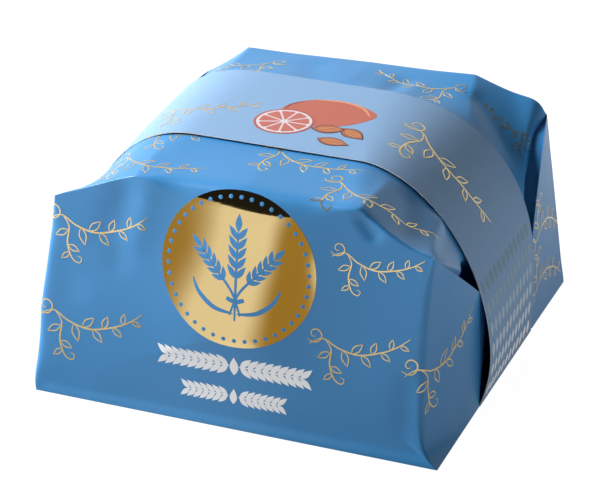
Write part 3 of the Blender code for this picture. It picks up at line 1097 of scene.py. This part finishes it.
# The sprigs of each sheet: the spot in millimetres, the turn in degrees and the size
SPRIGS = {
    front_sheet: ((-112, 98, 4, 0.95), (-116, 42, 4, 1.0), (52, 106, 0, 0.8), (42, 55, 6, 0.9),
                  (-92, 156, -12, 1.0), (-12, 186, -14, 1.0), (34, 158, -14, 1.0), (-84, 186, 8, 1.0)),
    right_sheet: ((-9, 44, 12, 1.0),),
    back_sheet: ((64, 158, 184, 0.9), (-44, 160, 172, 1.0), (106, 150, 176, 0.5), (-104, 98, 4, 1.0),
                 (-36, 60, 2, 1.0), (38, 100, 6, 0.9), (34, 34, 4, 1.0), (-100, 36, 2, 1.0)),
    right_back_sheet: ((60, 62, 192, 1.0), (66, 28, 188, 1.0)),
    left_sheet: ((8, 58, 4, 1.0),),
    left_back_sheet: ((62, 40, 186, 1.0),),
}
mesh = bmesh.new()
for sheet, sprigs in SPRIGS.items():
    for x, y, turn, size in sprigs:
        lay(mesh, sprig(), sheet, (x, y), turn, size=size)
add_print("gold_flourishes", mesh, broken_foil)

mesh = bmesh.new()
lay(mesh, sprig(), strap_sheet, (-90, -16), 14, lift=0.08)
lay(mesh, sprig(), strap_sheet, (49, 8), -16, lift=0.08, size=1.2)
add_print("band_flourishes", mesh, broken_foil)

# White ornament under the seal: two garlands of leaves, printed on the front wall before it was
# folded up.

# Opaque white ink, screen-printed thickly: it hides the blue and has an even, half-matt face.
white_ink = new_material("opaque_white_ink", {"Base Color": "#F0F2F6", "Roughness": 0.5})


GARLAND_LEAN = math.radians(42)


def garland(half_length, pairs, leaf_length, leaf_width):
    """Leaves in pairs that run outwards from a lozenge in the middle."""
    shapes = [leaf_shape(0, -leaf_length * 0.62, math.pi / 2, leaf_length * 1.24, leaf_width * 1.5)]
    pitch = (half_length - leaf_length) / (pairs - 1)
    for side in (-1, 1):
        shapes.append(pen_line([(side * 3, 0), (side * half_length * 0.9, 0)], 0.9, 1.4, 0.3))
        for i in range(pairs):
            for up in (-1, 1):
                lean = up * GARLAND_LEAN
                angle = lean if side > 0 else math.pi - lean
                shapes.append(leaf_shape(side * (3.5 + i * pitch), 0, angle, leaf_length, leaf_width))
    return shapes


mesh = bmesh.new()
lay(mesh, garland(43, 9, 8.6, 3.4), front_sheet, (0, 36.5))
lay(mesh, garland(29, 7, 7.0, 2.8), front_sheet, (0, 18.5))
add_print("white_garlands", mesh, white_ink)

# The band's side print: six rows of leaves on each side of the pack, printed in inks that fade from
# dark teal at the top to white at the foot.
ROW_COLOURS = ["#6C8C9E", "#86A3B8", "#A0B8CA", "#BCCCDA", "#D8E2EA", "#F4F6FA"]
ROW_START = 147.5
ROW_PITCH = 12.4
ROW_LEAVES = 12
ROW_EDGE = -40
ROW_LEAF_PITCH = 7.4
ROW_LEAF_LENGTH = 8.8
ROW_LEAF_WIDTH = 5.2
ROW_LEAF_FOOT = 4.2
for side, name in ((RIGHT, "right"), (LEFT, "left")):
    for row, colour in enumerate(ROW_COLOURS):
        # Thin offset ink on uncoated paper: it sinks in and dries matt.
        ink = new_material(f"row_ink_{name}_{row}", {"Base Color": colour, "Roughness": 0.6})
        foot = side * (ROW_START + row * ROW_PITCH) - side * ROW_LEAF_FOOT
        angle = 0 if side == RIGHT else math.pi
        shapes = []
        for i in range(ROW_LEAVES):
            y = ROW_EDGE + ROW_LEAF_PITCH * i
            shapes.append(leaf_shape(foot, y, angle, ROW_LEAF_LENGTH, ROW_LEAF_WIDTH))
        mesh = bmesh.new()
        lay(mesh, shapes, strap_sheet, (0, 0), lift=0.06)
        add_print(f"band_row_{name}_{row}", mesh, ink)

# The band's top print: a whole citrus fruit, a cut wheel of it and three almonds, in flat inks laid
# over each other as an offset press lays them.
FRUIT_PLACE = (6, 7)
WHEEL_PLACE = (-11, -12)
WHEEL_RADIUS = 17.0
SEGMENTS = 9
# Each almond's foot, its lean in degrees, its length and its width
ALMONDS = ((7, -15, 12, 18, 10), (23, -10, -32, 17, 9.6), (15, -27, -8, 18, 9.0))
ALMOND_EDGE = 0.7


def oval_shape(length, width, angle, steps):
    """A filled oval, pointed a little at its far end as a citrus fruit is."""
    rows = []
    for row in disc_shape(0, 0, 0.5, steps):
        rows.append([])
        for a, b, _ in row:
            along = a * length * (1 + 0.16 * max(a * 2, 0.0) ** 8)
            rows[-1].append(ahead(*ahead(0, 0, angle, along), angle + math.pi / 2, b * width))
    return rows


def wedge_shape(angle, radius, gap, steps=8):
    """One segment of a cut citrus wheel, with rounded outer corners."""
    rows = []
    for i in range(steps + 1):
        r = lerp(0.16 * radius, radius, i / steps)
        half = max(r * math.tan(math.pi / SEGMENTS) - gap, 0.1)
        if i == steps:
            half *= 0.72
        rows.append(cross_row(0, 0, angle, r, half))
    return rows


def add_ink(name, colour, shapes, spot, lift):
    """One flat colour of the motif: offset ink in several passes, even and nearly matt."""
    ink = new_material(name + "_ink", {"Base Color": colour, "Roughness": 0.55})
    mesh = bmesh.new()
    lay(mesh, shapes, strap_sheet, spot, lift=lift)
    add_print(name, mesh, ink)


lit_edge = [(-12, 15.5), (4, 18), (17, 14), (25, 4)]
dark_edge = [(-23, -4), (-22, 5), (-16, 11.5)]
add_ink("fruit_peel", "#B05F4F", [oval_shape(50, 37, math.radians(12), 28)], FRUIT_PLACE, 0.06)
add_ink("fruit_peel_light", "#CC8E6C", [pen_line(lit_edge, 2.0, 1.5, 0.9)], FRUIT_PLACE, 0.09)
add_ink("fruit_peel_dark", "#8C4A41", [pen_line(dark_edge, 1.5, 1.5, 0.9)], FRUIT_PLACE, 0.09)
add_ink("wheel_rind", "#A85446", [disc_shape(0, 0, WHEEL_RADIUS, 20)], WHEEL_PLACE, 0.12)
add_ink("wheel_pith", "#CBC4CB", [disc_shape(0, 0, WHEEL_RADIUS - 1.5, 20)], WHEEL_PLACE, 0.15)
segments = []
for i in range(SEGMENTS):
    angle = 2 * math.pi * (i + 0.5) / SEGMENTS
    segments.append(wedge_shape(angle, WHEEL_RADIUS - 3.2, 0.6))
add_ink("wheel_segments", "#B46458", segments, WHEEL_PLACE, 0.18)
shells, grooves, outlines = [], [], []
for x, y, lean, length, width in ALMONDS:
    angle = math.radians(lean)
    foot_x, foot_y = ahead(x, y, angle, -ALMOND_EDGE)
    outlines.append(leaf_shape(foot_x, foot_y, angle, length + 2 * ALMOND_EDGE, width + 2 * ALMOND_EDGE))
    shells.append(leaf_shape(x, y, angle, length, width))
    for bend in (-0.26, 0.0, 0.26):
        groove = [ahead(x, y, angle + bend, length * 0.16), ahead(x, y, angle + bend, length * 0.5),
                  ahead(x, y, angle + bend * 0.3, length * 0.86)]
        grooves.append(pen_line(groove, 0.65, 1.2, 0.8))
add_ink("almond_edges", "#54302E", outlines, (0, 0), 0.21)
add_ink("almond_skins", "#9E5C44", shells, (0, 0), 0.24)
add_ink("almond_grooves", "#D09454", grooves, (0, 0), 0.27)
